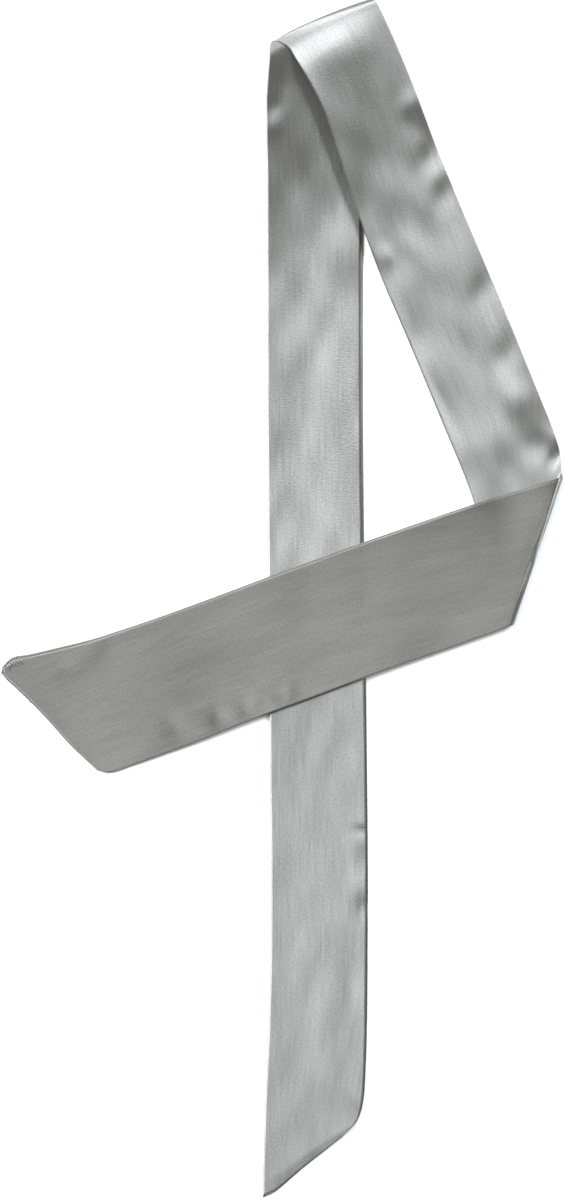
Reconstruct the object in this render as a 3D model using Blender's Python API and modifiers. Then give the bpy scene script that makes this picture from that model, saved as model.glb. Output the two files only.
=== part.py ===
"""A satin scarf laid flat on the floor, folded twice so that it crosses itself once.

The scarf is one long band. A strip of satin is folded lengthwise along its plain edge and
sewn along its seam edge, so the band has a face layer and a back layer everywhere. It lies
in three straight stretches joined by two folds:

    long run      up the page, from the slanted free end to the top fold
    top fold      a soft open roll that turns the band over, back outermost
    slanting run  down to the right, back side up, lying on the top of the long run
    side fold     a tight fold that turns the band over again, face outermost
    short run     to the left and a little down, face side up, across both other runs

Each stretch is a middle surface worked out over two parameters: u goes from the plain edge
to the seam edge and v goes along the band. The two layers are open sheets on either side of
that surface, and Solidify gives them their thickness.

Lengths are in millimetres and turned into metres where a vertex is placed. +X is to the
right, +Y is up the page and +Z is up off the floor.
"""

import math
from collections import namedtuple

import bmesh
import bpy
from mathutils import Vector

MM = 0.001

# The cloth
LAYER = 1.0
PARTED = 0.3
BAND = 2 * LAYER + PARTED
ON_FLOOR = BAND / 2
CROSSING = BAND + PARTED
SEAM_STEP = 2.2

# How the band settles on what lies under it
OVERHANG = 1.0
DRAPE = 25.0
SLANTING_SETTLES_IN = 125.0
SHORT_SETTLES_IN = 25.0
FOLD_TRIM = 0.5

# How far from a run's end its cross lines stop following the end's slant and its curve,
# and the least step from a corner to the next section
SLANT_FADE = 160.0
CURVE_FADE = 40.0
CORNER = 4.0

# The soft pillow of the upper layer, and the strip where it goes flat
CROWN = 1.2
CROWN_POWER = 4
CALM = 18.0

# A step of the two parameters for measuring a slope
STEP = 0.002

Guide = namedtuple("Guide", "x y heading seam_side")
Section = namedtuple("Section", "along to_plain to_seam")
FreeEnd = namedtuple("FreeEnd", "plain_out seam_out line")
Pucker = namedtuple("Pucker", "along out length width turn height")
Fold = namedtuple(
    "Fold", "plain seam side bow plain_radius seam_radius lower_slip upper_slip")
Finish = namedtuple("Finish", "red green blue roughness metallic")

# The straight guide line that each run follows: where it starts, its heading in degrees from
# +X, and whether the seam edge is on its left (1) or its right (-1)
LONG_RUN_GUIDE = Guide(23.4, -437.3, 90.0, -1)
SLANTING_RUN_GUIDE = Guide(36.5, 418.7, -68.3, 1)
SHORT_RUN_GUIDE = Guide(183.2, 33.9, 198.8, -1)

# Each fold's outermost line on the page, from the plain edge to the seam edge, how far it
# bows outward in the middle, the roll's radius at both ends, and how far the band slips
# along that line as it goes round
TOP_FOLD = Fold(
    plain=(-8.8, 407.0), seam=(64.6, 438.4), side=1, bow=1.8,
    plain_radius=10.0, seam_radius=4.0, lower_slip=(-6.5, -4.0), upper_slip=(10.5, 2.5))
SIDE_FOLD = Fold(
    plain=(168.5, -18.5), seam=(204.8, 90.0), side=-1, bow=0.0,
    plain_radius=2.2, seam_radius=2.2, lower_slip=(4.0, 4.0), upper_slip=(-2.7, -2.7))

# The slanted free ends in the coordinates of their own runs: the line is a row of stations,
# each a share of the width from the plain edge and the distance along the run there
LONG_RUN_TIP = FreeEnd(
    plain_out=-38.0, seam_out=20.5,
    line=[(0, 0.5), (0.14, 4.2), (0.47, 20.8), (0.8, 36.2), (1, 45.5)])
SHORT_RUN_TIP = FreeEnd(
    plain_out=-47.2, seam_out=46.6,
    line=[(0, 353.0), (0.25, 365.5), (0.5, 375.5), (0.75, 386.7), (0.93, 395.5), (1, 394.3)])

# Half widths along each run, from its guide line to its two edges
LONG_RUN_SECTIONS = [
    Section(25, 37.7, 19.0),
    Section(56, 36.8, 30.3),
    Section(70, 36.3, 35.0),
    Section(94, 35.3, 36.9),
    Section(130, 33.6, 38.0),
    Section(185, 32.4, 38.4),
    Section(240, 32.2, 38.6),
    Section(308, 32.9, 38.0),
    Section(380, 33.3, 37.2),
    Section(480, 34.3, 35.8),
    Section(585, 35.0, 35.0),
    Section(740, 35.2, 35.4),
    Section(800, 35.7, 36.6),
]
SLANTING_RUN_SECTIONS = [
    Section(25, 32.6, 37.3),
    Section(50, 29.8, 37.8),
    Section(77, 30.1, 37.7),
    Section(109, 32.3, 37.1),
    Section(145, 34.4, 37.6),
    Section(185, 35.2, 38.4),
    Section(235, 33.9, 39.5),
    Section(300, 32.9, 40.1),
    Section(345, 32.4, 39.5),
    Section(375, 34.0, 38.0),
    Section(410, 36.5, 37.0),
]
SHORT_RUN_SECTIONS = [
    Section(-5, 46.0, 47.0),
    Section(33, 46.0, 48.0),
    Section(78, 45.7, 48.0),
    Section(135, 46.1, 47.4),
    Section(188, 47.8, 46.2),
    Section(235, 49.0, 44.8),
    Section(275, 51.2, 44.0),
    Section(305, 52.1, 44.1),
    Section(325, 52.3, 44.5),
    Section(345, 52.0, 46.2),
    Section(372, 50.0, 48.8),
    Section(385, 50.0, 50.5),
]

# The largest puckers: ridges above zero and hollows below it
LONG_RUN_PUCKERS = [
    Pucker(72, 22, 26, 9, -35, 1.2),
    Pucker(60, 31, 18, 5, -30, -1.0),
    Pucker(130, 8, 60, 9, 4, 0.9),
    Pucker(161, 27, 20, 8, 0, -0.9),
    Pucker(210, 33, 7, 12, 0, -1.0),
    Pucker(229, 30, 8, 12, 0, 1.1),
    Pucker(247, 34, 7, 10, 0, -1.0),
    Pucker(262, 31, 7, 10, 0, 0.9),
    Pucker(205, -22, 40, 10, 2, -0.8),
    Pucker(560, 12, 70, 10, -3, 0.8),
    Pucker(620, -20, 50, 9, 3, 0.9),
    Pucker(800, -24, 14, 8, 25, 1.4),
]
SLANTING_RUN_PUCKERS = [
    Pucker(66, 28, 12, 14, 40, 1.6),
    Pucker(104, 31, 8, 14, 50, -1.4),
    Pucker(121, 26, 9, 16, 50, 1.8),
    Pucker(139, 31, 8, 12, 50, -1.4),
    Pucker(172, -10, 16, 20, 40, 1.5),
    Pucker(171, -27, 9, 13, -40, -1.2),
    Pucker(207, 30, 9, 14, 50, -1.4),
    Pucker(237, -24, 10, 14, -40, -1.3),
    Pucker(254, 30, 9, 14, 50, -1.4),
    Pucker(283, -23, 30, 5, 4, -1.5),
    Pucker(282, 24, 14, 14, 50, 1.8),
    Pucker(305, -14, 18, 16, -30, 1.6),
    Pucker(318, 30, 12, 8, 20, -1.5),
    Pucker(333, 22, 10, 14, 50, 1.5),
]
SHORT_RUN_PUCKERS = [
    Pucker(60, 10, 60, 12, 3, 0.9),
    Pucker(130, -15, 55, 12, -3, 0.8),
    Pucker(204, -38, 9, 12, 30, 1.4),
    Pucker(219, -40, 7, 11, 30, -1.1),
    Pucker(234, -38, 9, 12, 30, 1.4),
    Pucker(256, -38, 9, 12, 30, 1.4),
    Pucker(289, -34, 12, 12, 30, 1.3),
    Pucker(250, 12, 60, 12, 2, 0.9),
    Pucker(328, 34, 14, 10, -30, 1.3),
    Pucker(349, 27, 12, 9, -30, 1.2),
]

# Cells across and along each stretch: fine on the layer that lies uppermost
LONG_RUN_CELLS = (8, 84)
SLANTING_RUN_CELLS = (8, 52)
SHORT_RUN_CELLS = (8, 48)
HIDDEN_CELLS_ACROSS = 4
TOP_FOLD_CELLS = (10, 12)
SIDE_FOLD_CELLS = (8, 10)

# The finish, lighter where the satin's threads face the light
SILVER = Finish(0.46, 0.46, 0.45, 0.34, 0.35)
SILVER_BACK = Finish(0.42, 0.42, 0.41, 0.36, 0.35)
WARM_GREY = Finish(0.30, 0.29, 0.265, 0.38, 0.35)


def mix(first, second, share):
    """Share 0 gives the first value and share 1 the second."""
    return first + (second - first) * share


def ease(value):
    """A smooth rise from 0 to 1 as the value goes from 0 to 1, level outside."""
    value = min(max(value, 0.0), 1.0)
    return value * value * (3 - 2 * value)


def through(stations, position):
    """A smooth curve through (position, value) stations, level past the first and last."""
    if position <= stations[0][0]:
        return stations[0][1]
    if position >= stations[-1][0]:
        return stations[-1][1]
    after = next(i for i, station in enumerate(stations) if station[0] > position)
    x0, y0 = stations[after - 1]
    x1, y1 = stations[after]
    span = x1 - x0

    def slope(index):
        low = stations[max(index - 1, 0)]
        high = stations[min(index + 1, len(stations) - 1)]
        return (high[1] - low[1]) / (high[0] - low[0])

    t = (position - x0) / span
    rise0 = slope(after - 1) * span
    rise1 = slope(after) * span
    return (y0 * (2 * t**3 - 3 * t**2 + 1) + rise0 * (t**3 - 2 * t**2 + t)
            + y1 * (3 * t**2 - 2 * t**3) + rise1 * (t**3 - t**2))


def fold_line(fold):
    """The fold's first corner, its direction to the seam edge, and the way outward."""
    plain = Vector(fold.plain)
    seamward = (Vector(fold.seam) - plain).normalized()
    outward = Vector((-seamward.y, seamward.x)) * fold.side
    return plain, seamward, outward


def fold_radius(fold, u):
    return mix(fold.plain_radius, fold.seam_radius, u)


def fold_point(fold, u, v):
    """The fold's middle surface: half a turn from the lower stretch to the upper one."""
    plain, seamward, outward = fold_line(fold)
    bow = fold.bow * 4 * u * (1 - u)
    crest = plain.lerp(Vector(fold.seam), u) + outward * (bow - BAND / 2)
    radius = fold_radius(fold, u)
    angle = math.pi * (v - 0.5)
    half_turn = 2 * v - 1
    slips = fold.lower_slip if half_turn < 0 else fold.upper_slip
    slip = mix(*slips, u) * abs(half_turn)
    spot = crest - outward * radius * (1 - math.cos(angle)) + seamward * slip
    return Vector((spot.x, spot.y, ON_FLOOR + radius * (1 + math.sin(angle))))


class Run:
    """A straight stretch of the band, drawn about a guide line.

    Its own coordinates are the distance along the guide line and the distance out from it,
    positive towards the seam edge. Its head and its tail are each a free end or a fold.
    """

    def __init__(self, guide, sections, puckers, head, tail, settles_in=0.0):
        angle = math.radians(guide.heading)
        self.start = Vector((guide.x, guide.y))
        self.ahead = Vector((math.cos(angle), math.sin(angle)))
        self.seamward = Vector((-self.ahead.y, self.ahead.x)) * guide.seam_side
        self.puckers = puckers
        self.settles_in = settles_in
        self.lies_on = []
        self.lies_under = []
        self.from_fold = head if isinstance(head, Fold) else None
        self.to_fold = tail if isinstance(tail, Fold) else None
        self.head = self.end_line(head, 1, FOLD_TRIM)
        self.tail = self.end_line(tail, 0, -FOLD_TRIM)
        self.plain_edge = self.edge(
            0, [(section.along, -section.to_plain) for section in sections])
        self.seam_edge = self.edge(
            1, [(section.along, section.to_seam) for section in sections])

    def own(self, spot):
        """A spot on the page in the run's own coordinates."""
        offset = spot - self.start
        return offset.dot(self.ahead), offset.dot(self.seamward)

    def page(self, along, out):
        return self.start + self.ahead * along + self.seamward * out

    def end_line(self, end, fold_v, trim):
        """The run's end line on the page as a function of u: a cut end or a fold's foot."""
        def cut_end(u):
            return self.page(through(end.line, u), mix(end.plain_out, end.seam_out, u))

        def fold_foot(u):
            return fold_point(end, u, fold_v).xy + self.ahead * trim

        return fold_foot if isinstance(end, Fold) else cut_end

    def edge(self, u, sections):
        """One edge's stations: its corner at the head, the sections and its tail corner."""
        first = self.own(self.head(u))
        last = self.own(self.tail(u))
        between = [section for section in sections
                   if first[0] + CORNER < section[0] < last[0] - CORNER]
        return [first] + between + [last]

    def along(self, u, v):
        """Even steps along an edge, drawn out or in near each end so that both edges fit."""
        head = mix(self.plain_edge[0][0], self.seam_edge[0][0], u)
        tail = mix(self.plain_edge[-1][0], self.seam_edge[-1][0], u)
        head_middle = (self.plain_edge[0][0] + self.seam_edge[0][0]) / 2
        tail_middle = (self.plain_edge[-1][0] + self.seam_edge[-1][0]) / 2
        length = tail_middle - head_middle
        near_head = 1 - ease(v * length / SLANT_FADE)
        near_tail = 1 - ease((1 - v) * length / SLANT_FADE)
        return (mix(head_middle, tail_middle, v) + (head - head_middle) * near_head
                + (tail - tail_middle) * near_tail)

    def straight_spot(self, u, v):
        """The place of (u, v) on a straight line from edge to edge."""
        plain_along = self.along(0, v)
        seam_along = self.along(1, v)
        plain = self.page(plain_along, through(self.plain_edge, plain_along))
        seam = self.page(seam_along, through(self.seam_edge, seam_along))
        return plain.lerp(seam, u)

    def spot(self, u, v):
        """The place of (u, v) on the page, bent near the ends to follow the end lines."""
        length = self.along(u, 1) - self.along(u, 0)
        near_head = 1 - ease(v * length / CURVE_FADE)
        near_tail = 1 - ease((1 - v) * length / CURVE_FADE)
        to_head = self.head(u) - self.straight_spot(u, 0)
        to_tail = self.tail(u) - self.straight_spot(u, 1)
        return self.straight_spot(u, v) + to_head * near_head + to_tail * near_tail

    def beyond(self, spot):
        """How far a spot lies outside the run's two edges, below zero between them."""
        along, out = self.own(spot)
        return max(out - through(self.seam_edge, along),
                   through(self.plain_edge, along) - out)

    def point(self, u, v):
        """The middle surface, raised where it lies on another run or leaves a fold."""
        spot = self.spot(u, v)
        carried = max((1 - ease((under.beyond(spot) - OVERHANG) / DRAPE)
                       for under in self.lies_on), default=0.0)
        rise = CROSSING * carried
        if self.from_fold:
            travelled = self.along(u, v) - self.along(u, 0)
            settled = ease(travelled / self.settles_in)
            rise = mix(2 * fold_radius(self.from_fold, u), rise, settled)
        return Vector((spot.x, spot.y, ON_FLOOR + rise))

    def relief(self, u, v):
        """The upper layer's pillow and puckers, flat under other runs and at the folds."""
        spot = self.spot(u, v)
        along, out = self.own(spot)
        height = CROWN * (1 - abs(2 * u - 1) ** CROWN_POWER)
        for pucker in self.puckers:
            turn = math.radians(pucker.turn)
            ahead = along - pucker.along
            aside = out - pucker.out
            lengthwise = (ahead * math.cos(turn) + aside * math.sin(turn)) / pucker.length
            crosswise = (aside * math.cos(turn) - ahead * math.sin(turn)) / pucker.width
            height += pucker.height * math.exp(-lengthwise**2 - crosswise**2)
        for over in self.lies_under:
            height *= ease((over.beyond(spot) - 2 * OVERHANG) / CALM)
        if self.from_fold:
            height *= ease((self.along(u, v) - self.along(u, 0)) / CALM)
        if self.to_fold:
            height *= ease((self.along(u, 1) - self.along(u, v)) / CALM)
        return max(height, 0.0)


def normal_at(point, u, v):
    """The unit normal of a surface, towards the band's face side."""
    across = point(min(u + STEP, 1), v) - point(max(u - STEP, 0), v)
    onward = point(u, min(v + STEP, 1)) - point(u, max(v - STEP, 0))
    return across.cross(onward).normalized()


def satin(name, finish):
    """The satin of one node as a Principled material."""
    material = bpy.data.materials.new(name)
    material.use_nodes = True
    shader = material.node_tree.nodes["Principled BSDF"]
    shader.inputs["Base Color"].default_value = (finish.red, finish.green, finish.blue, 1)
    shader.inputs["Roughness"].default_value = finish.roughness
    shader.inputs["Metallic"].default_value = finish.metallic
    return material


def layer(name, point, face_side, cells, finish, relief=None):
    """One layer of a stretch: a grid laid on its side of the middle surface, then thickened.

    The face layer is narrower than the back layer by SEAM_STEP at the seam edge.
    """
    mesh = bpy.data.meshes.new(name)
    grid = bmesh.new()
    bmesh.ops.create_grid(grid, x_segments=cells[0], y_segments=cells[1], size=0.5)
    for vertex in grid.verts:
        u = vertex.co.x + 0.5
        v = vertex.co.y + 0.5
        if face_side > 0:
            u *= 1 - SEAM_STEP / (point(1, v) - point(0, v)).length
        place = point(u, v) + normal_at(point, u, v) * face_side * PARTED / 2
        if relief:
            place.z += relief(u, v)
        vertex.co = place * MM
    grid.to_mesh(mesh)
    grid.free()
    mesh.shade_smooth()
    cloth = bpy.data.objects.new(name, mesh)
    thickness = cloth.modifiers.new("thickness", "SOLIDIFY")
    thickness.thickness = LAYER * MM
    thickness.offset = face_side
    mesh.materials.append(satin(name + "_satin", finish))
    return cloth


def centre_on_floor(root, parts):
    """Move the scarf so that the middle of its outline is at the frame's origin."""
    bpy.context.view_layer.update()
    depsgraph = bpy.context.evaluated_depsgraph_get()
    corners = [part.evaluated_get(depsgraph).matrix_world @ Vector(corner)
               for part in parts
               for corner in part.evaluated_get(depsgraph).bound_box]
    for axis in (0, 1):
        low = min(corner[axis] for corner in corners)
        high = max(corner[axis] for corner in corners)
        root.location[axis] = -(low + high) / 2
    root.location[2] = -min(corner[2] for corner in corners)


def lay_runs():
    """The three runs, each knowing which others it lies on and under."""
    long_run = Run(LONG_RUN_GUIDE, LONG_RUN_SECTIONS, LONG_RUN_PUCKERS,
                   LONG_RUN_TIP, TOP_FOLD)
    slanting_run = Run(SLANTING_RUN_GUIDE, SLANTING_RUN_SECTIONS, SLANTING_RUN_PUCKERS,
                       TOP_FOLD, SIDE_FOLD, SLANTING_SETTLES_IN)
    short_run = Run(SHORT_RUN_GUIDE, SHORT_RUN_SECTIONS, SHORT_RUN_PUCKERS,
                    SIDE_FOLD, SHORT_RUN_TIP, SHORT_SETTLES_IN)
    slanting_run.lies_on = [long_run]
    short_run.lies_on = [long_run, slanting_run]
    long_run.lies_under = [slanting_run, short_run]
    slanting_run.lies_under = [short_run]
    return long_run, slanting_run, short_run


def sew_layers():
    """A face layer and a back layer for every stretch, from the long run's end onward."""
    long_run, slanting_run, short_run = lay_runs()

    def top_fold(u, v):
        return fold_point(TOP_FOLD, u, v)

    def side_fold(u, v):
        return fold_point(SIDE_FOLD, u, v)

    def hidden(cells):
        return HIDDEN_CELLS_ACROSS, cells[1]

    return [
        layer("long_run_face", long_run.point, 1, LONG_RUN_CELLS, SILVER, long_run.relief),
        layer("long_run_back", long_run.point, -1, hidden(LONG_RUN_CELLS), SILVER_BACK),
        layer("top_fold_face", top_fold, 1, TOP_FOLD_CELLS, SILVER),
        layer("top_fold_back", top_fold, -1, TOP_FOLD_CELLS, SILVER_BACK),
        layer("slanting_run_face", slanting_run.point, 1, hidden(SLANTING_RUN_CELLS),
              SILVER),
        layer("slanting_run_back", slanting_run.point, -1, SLANTING_RUN_CELLS,
              SILVER_BACK, slanting_run.relief),
        layer("side_fold_face", side_fold, 1, SIDE_FOLD_CELLS, WARM_GREY),
        layer("side_fold_back", side_fold, -1, SIDE_FOLD_CELLS, WARM_GREY),
        layer("short_run_face", short_run.point, 1, SHORT_RUN_CELLS, WARM_GREY,
              short_run.relief),
        layer("short_run_back", short_run.point, -1, hidden(SHORT_RUN_CELLS), WARM_GREY),
    ]


def main():
    for thing in list(bpy.data.objects):
        bpy.data.objects.remove(thing, do_unlink=True)
    collection = bpy.data.collections.new("satin_scarf")
    bpy.context.scene.collection.children.link(collection)
    root = bpy.data.objects.new("scarf", None)
    collection.objects.link(root)
    parts = sew_layers()
    for part in parts:
        collection.objects.link(part)
        part.parent = root
    centre_on_floor(root, parts)


main()
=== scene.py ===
# %% [markdown]
# # A satin scarf, laid flat and folded twice
#
# The scarf is one long band. A strip of satin was folded lengthwise and sewn along its other
# edge, so the band is a flat sleeve with a plain edge, which is a fold, and a seam edge. It
# runs up the page, turns over in a soft roll at the top, runs down to the right, turns over
# again in a tight fold, and crosses over itself to the left.
#
# This lesson dresses a ready frame of ten plain solids in that satin. Each step says what the
# thing is on the real scarf, how it could be made, and why it is made this way here.
# Lengths are in millimetres until a mesh is made.

import math
from collections import namedtuple
from types import SimpleNamespace

import bpy
import numpy as np
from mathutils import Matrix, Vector


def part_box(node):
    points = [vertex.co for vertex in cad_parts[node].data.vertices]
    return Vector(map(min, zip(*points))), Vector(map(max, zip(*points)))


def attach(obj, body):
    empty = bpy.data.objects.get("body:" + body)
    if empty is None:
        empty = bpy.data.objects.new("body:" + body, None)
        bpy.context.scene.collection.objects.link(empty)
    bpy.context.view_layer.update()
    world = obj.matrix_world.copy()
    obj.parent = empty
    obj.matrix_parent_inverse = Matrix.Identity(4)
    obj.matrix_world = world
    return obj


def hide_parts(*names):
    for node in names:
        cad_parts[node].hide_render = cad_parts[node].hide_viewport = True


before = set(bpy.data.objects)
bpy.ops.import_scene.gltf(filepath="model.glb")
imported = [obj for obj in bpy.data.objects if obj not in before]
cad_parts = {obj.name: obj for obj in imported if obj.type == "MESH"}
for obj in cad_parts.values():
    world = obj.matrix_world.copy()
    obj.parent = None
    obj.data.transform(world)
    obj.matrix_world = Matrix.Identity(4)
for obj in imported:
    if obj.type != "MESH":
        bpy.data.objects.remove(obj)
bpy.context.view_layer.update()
MM = 0.001
print("nodes:", sorted(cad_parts))

# %% [markdown]
# ## The layout, from its own numbers
#
# The solids were laid out along three straight guide lines, with the half widths of the band
# at a few sections, two folds and two slanted free ends. The cloth could be shrunk onto the
# solids with a modifier, but they are parted at every fold, and satin has to flow through its
# folds without a break. So the same few numbers are used again to draw one unbroken surface.
#
# A fold is given by the two corners of its crest line and how far that line bows, then, at
# the plain and at the seam edge, the roll's radius, how far the threads slip along it below
# and above, how high its lower foot lifts, how high the band gets past it (top), how far past
# it that is (crown) and how much of that height is swell (puff), and last how far it turns.

# %% The guide lines, folds and free ends
LAYER = 1.0  # a solid layer's thickness
PARTED = 0.3  # the gap between two layers
BAND = 2 * LAYER + PARTED
HALF = BAND / 2
CROSSING = BAND + PARTED  # how much higher the band lies where it crosses itself
OVERHANG = 1.0  # how far past the lower band's edge that height is kept
DRAPE = 110.0  # how far past the edge the band is down on the floor again
LIFTS_IN = 230.0  # how far before a fold the band starts to lift
LIFT_POWER = 2.5
SAG = (0.6, 0.9)  # how much the fall past a fold hangs, at the plain and the seam edge
ONSET = 0.12  # how softly that fall begins
SLANT_FADE = 160.0  # how far in from an end the rows stay slanted
CURVE_FADE = 40.0  # how far in from an end the rows stay curved
CORNER = 4.0  # no section is read closer than this to a corner

Guide = namedtuple("Guide", "x y heading seam_side")
FreeEnd = namedtuple("FreeEnd", "plain_out seam_out line")
Fold = namedtuple(
    "Fold", "plain seam side bow plain_radius seam_radius lower_slip upper_slip"
    " lift top crown puff turn")

LONG_GUIDE = Guide(23.4, -437.3, 90.0, -1)
SLANTING_GUIDE = Guide(36.5, 418.7, -68.3, 1)
SHORT_GUIDE = Guide(183.2, 33.9, 198.8, -1)
TOP_FOLD = Fold(
    plain=(-8.8, 407.0), seam=(64.6, 438.4), side=1, bow=1.8,
    plain_radius=10.0, seam_radius=4.0, lower_slip=(-6.5, -4.0), upper_slip=(10.5, 2.5),
    lift=(16.5, 9.0), top=(18.8, 15.6), crown=(22.0, 5.0), puff=(2.8, 0.6), turn=60.0)
SIDE_FOLD = Fold(
    plain=(168.5, -18.5), seam=(204.8, 90.0), side=-1, bow=0.0,
    plain_radius=2.2, seam_radius=2.2, lower_slip=(4.0, 4.0), upper_slip=(-2.7, -2.7),
    lift=(0.0, 0.0), top=(4.6, 4.6), crown=(1.0, 1.0), puff=(0.0, 0.0), turn=85.0)
LONG_TIP = FreeEnd(
    plain_out=-38.0, seam_out=20.5,
    line=[(0, 0.5), (0.14, 4.2), (0.47, 20.8), (0.8, 36.2), (1, 45.5)])
SHORT_TIP = FreeEnd(
    plain_out=-47.2, seam_out=46.6,
    line=[(0, 353.0), (0.25, 365.5), (0.5, 375.5), (0.75, 386.7), (0.93, 395.5), (1, 394.3)])

# %% The half widths at each section: along, to the plain edge, to the seam edge
LONG_SECTIONS = [
    (25, 37.7, 19.0), (56, 36.8, 30.3), (70, 36.3, 35.0), (94, 35.3, 36.9),
    (130, 33.6, 38.0), (185, 32.4, 38.4), (240, 32.2, 38.6), (308, 32.9, 38.0),
    (380, 33.3, 37.2), (480, 34.3, 35.8), (585, 35.0, 35.0), (740, 35.2, 35.4),
    (800, 35.7, 36.6),
]
SLANTING_SECTIONS = [
    (25, 32.6, 37.3), (50, 29.8, 37.8), (77, 30.1, 37.7), (109, 32.3, 37.1),
    (145, 34.4, 37.6), (185, 35.2, 38.4), (235, 33.9, 39.5), (300, 32.9, 40.1),
    (345, 32.4, 39.5), (375, 34.0, 38.0), (410, 36.5, 37.0),
]
SHORT_SECTIONS = [
    (-5, 46.0, 47.0), (33, 46.0, 48.0), (78, 45.7, 48.0), (135, 46.1, 47.4),
    (188, 47.8, 46.2), (235, 49.0, 44.8), (275, 51.2, 44.0), (305, 52.1, 44.1),
    (325, 52.3, 44.5), (345, 52.0, 46.2), (372, 50.0, 48.8), (385, 50.0, 50.5),
]
print("sections:", len(LONG_SECTIONS), len(SLANTING_SECTIONS), len(SHORT_SECTIONS))

# %% [markdown]
# ## Three small curves that everything is drawn with
#
# A scarf has no corners between its sections, so widths and end lines are read off a smooth
# curve that passes through the given stations. Blender's own curves could carry it, but here
# the value is needed at thousands of places at once, so it is worked out on whole arrays.

# %% Mix, ease and a curve through stations
def mix(first, second, share):
    """first + (second - first) * share."""
    return first + (second - first) * share


def ease(value):
    """A smooth rise from 0 to 1: 3 t^2 - 2 t^3, with t held between 0 and 1."""
    value = np.clip(value, 0.0, 1.0)
    return value * value * (3 - 2 * value)


def through(stations, position):
    """A cubic between each two stations, whose slope at a station is that of the line
    between its two neighbours. It is level before the first and after the last."""
    x, y = np.array(stations, dtype=float).T
    before = np.concatenate([[0], np.arange(len(x) - 1)])
    after = np.concatenate([np.arange(1, len(x)), [len(x) - 1]])
    slope = (y[after] - y[before]) / (x[after] - x[before])
    position = np.clip(position, x[0], x[-1])
    left = np.clip(np.searchsorted(x, position, side="right") - 1, 0, len(x) - 2)
    span = x[left + 1] - x[left]
    t = (position - x[left]) / span
    return (y[left] * (2 * t**3 - 3 * t**2 + 1)
            + slope[left] * span * (t**3 - 2 * t**2 + t)
            + y[left + 1] * (3 * t**2 - 2 * t**3)
            + slope[left + 1] * span * (t**3 - t**2))


print("half way through the long run's plain edge:",
      round(float(through([row[:2] for row in LONG_SECTIONS], 400.0)), 2), "mm")

# %% [markdown]
# ## The folds
#
# Where the band turns over, its middle surface is a round bend, like half a cylinder that
# lies on its side, or half a cone where one edge is rolled more loosely than the other, as at
# the top. The band meets the fold at a slant, so its threads slip along the roll as they go
# round it. A bent plane with a Simple Deform modifier could do this for a square fold but not
# for a slanted one, so the roll is written as a function of u, across the band from the plain
# edge to the seam edge, and v, round the bend from the lower foot to the upper one.

# %% The middle surface of a fold
def fold_axes(fold):
    """The fold's first corner, its direction to the seam edge, and the way outward."""
    plain = np.array(fold.plain)
    seamward = np.array(fold.seam) - plain
    seamward = seamward / np.linalg.norm(seamward)
    outward = np.array([-seamward[1], seamward[0]]) * fold.side
    return plain, seamward, outward


def fold_points(fold, u, v):
    """A fold's middle surface. With h = 2 v - 1 and a = h turn, a point starts on the crest
    line, which bows outward by 4 bow u (1 - u), goes in by radius (1 - cos a) / (1 - cos turn)
    and along the crest line by slip |h|. Its height goes from the lower foot's, lift, to the
    upper foot's, top - puff, by the share (1 + sin a / sin turn) / 2."""
    u, v = np.broadcast_arrays(u, v)
    plain, seamward, outward = fold_axes(fold)
    radius = mix(fold.plain_radius, fold.seam_radius, u)
    half_turn = 2 * v - 1
    turn = math.radians(fold.turn)
    inward = radius * (1 - np.cos(turn * half_turn)) / (1 - math.cos(turn))
    upward = np.sin(turn * half_turn) / math.sin(turn)
    slip = np.where(half_turn < 0, mix(*fold.lower_slip, u), mix(*fold.upper_slip, u))
    out = fold.bow * 4 * u * (1 - u) - HALF - inward
    crest = plain + (np.array(fold.seam) - plain) * u[..., None]
    spots = crest + outward * out[..., None] + seamward * (slip * abs(half_turn))[..., None]
    foot = mix(*fold.top, u) - mix(*fold.puff, u)
    height = HALF + mix(mix(*fold.lift, u), foot, (1 + upward) / 2)
    return np.concatenate([spots, height[..., None]], axis=-1)


print("top roll's crest:", fold_points(TOP_FOLD, np.array([0.0, 1.0]), 0.5).round(1).tolist())

# %% [markdown]
# ## The straight runs
#
# A run has its own coordinates: the distance along its guide line, and the distance out from
# it towards the seam edge. Its two edges are curves through the sections, and its cross lines
# are straight, except near the ends, where they turn to follow the slanted end line or the
# foot of a fold. A lattice could bend a plane to this outline, but then the outline would be
# in the lattice's points and not in the sections.

# %% A run in its own coordinates
def own(run, spots):
    """A place on the page as (along, out)."""
    offset = spots - run.start
    return offset @ run.ahead, offset @ run.seamward


def page(run, along, out):
    """(along, out) as a place on the page."""
    along, out = np.broadcast_arrays(along, out)
    return run.start + along[..., None] * run.ahead + out[..., None] * run.seamward


def end_line(run, end, fold_v):
    """The run's end line as a function of u: a free end's own line or a fold's foot."""
    def cut_end(u):
        """The end's own curve for the distance along, and a straight mix for that out."""
        return page(run, through(end.line, u), mix(end.plain_out, end.seam_out, u))

    def fold_foot(u):
        """The page place of the fold's foot at fold_v."""
        return fold_points(end, u, fold_v)[..., :2]

    return fold_foot if isinstance(end, Fold) else cut_end


def edge_stations(run, u, sections):
    """An edge's stations: its corner at the head, the sections and its corner at the tail."""
    first, last = own(run, run.head(np.array(u))), own(run, run.tail(np.array(u)))
    between = [row for row in sections if first[0] + CORNER < row[0] < last[0] - CORNER]
    return [first] + between + [last]


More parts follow.
